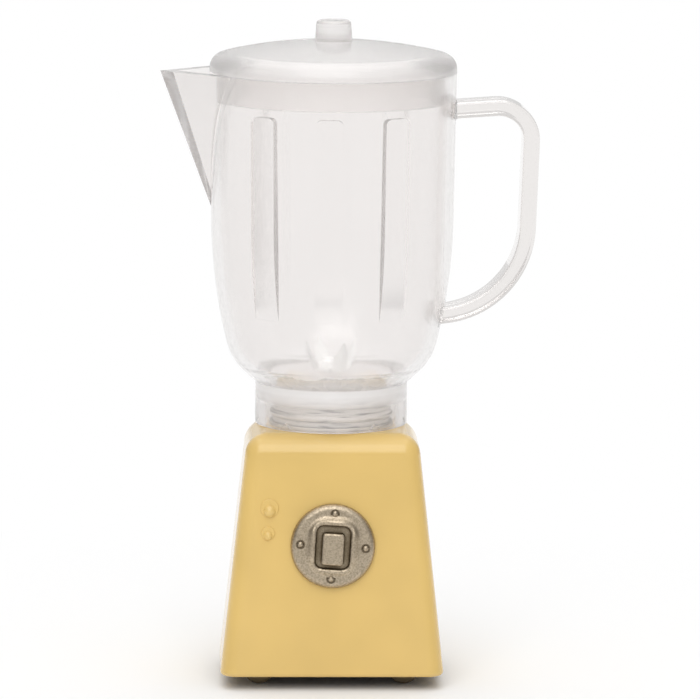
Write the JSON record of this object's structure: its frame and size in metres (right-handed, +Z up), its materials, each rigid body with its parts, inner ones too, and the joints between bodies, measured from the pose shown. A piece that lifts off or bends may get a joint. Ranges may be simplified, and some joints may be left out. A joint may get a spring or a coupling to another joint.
{
  "type": "toy blender",
  "caption": "Miniature toy blender: tapered enamelled base, round behind, with push button and domed feet; clear lift-off jug with beak, D handle, blades and knobbed lid.",
  "frame": {"origin": "on the surface that the feet stand on, below the middle of the whole outline", "axes": "+Z up, -Y towards the front with the switch plate, +X towards the handle, -X towards the beak"},
  "size_m": [0.0488, 0.0318, 0.0848],
  "materials": {
    "enamel": "glossy cream yellow enamel on cast metal",
    "cover": "dark brown, fine grain",
    "foot": "dark brown, glossy",
    "pewter": "antique pewter plating, softly speckled",
    "screw": "plain steel",
    "spring": "drawn steel wire",
    "clear": "clear moulded plastic"
  },
  "bodies": {
    "base": {"base_housing": "enamel", "bottom_cover": "cover", "foot_front_left": "foot", "foot_front_right": "foot", "foot_rear_left": "foot", "foot_rear_right": "foot", "cover_screw_left": "screw", "cover_screw_right": "screw", "jug_spigot": "pewter", "spigot_washer": "screw", "spigot_screw": "screw", "switch_plate": "pewter", "plate_rivet_top": "pewter", "plate_rivet_right": "pewter", "plate_rivet_bottom": "pewter", "plate_rivet_left": "pewter", "button_spring": "spring"},
    "button": {"switch_button": "pewter", "button_clip": "spring"},
    "jug": {"jug_body": "clear", "jug_handle": "clear", "jug_collar": "clear", "blade_pin": "clear"},
    "blades": {"blade_spider": "clear"},
    "lid": {"lid": "clear"}
  },
  "joints": [
    {"name": "button_press", "type": "slide", "parent": "base", "child": "button", "axis": [0, 0.994, -0.1097], "range_m": [0, 0.0005], "stiffness_N_per_m": 600, "springref_m": -0.0005, "deforming": ["button_spring"]},
    {"name": "jug_lift", "type": "slide", "parent": "base", "child": "jug", "axis": [0, 0, 1], "range_m": [0, 0.012]},
    {"name": "blade_spin", "type": "hinge", "parent": "jug", "child": "blades", "pos_m": [-0.00217, 0, 0.039], "axis": [0, 0, 1], "continuous": true},
    {"name": "lid_lift", "type": "slide", "parent": "jug", "child": "lid", "axis": [0, 0, 1], "range_m": [0, 0.01]}
  ]
}
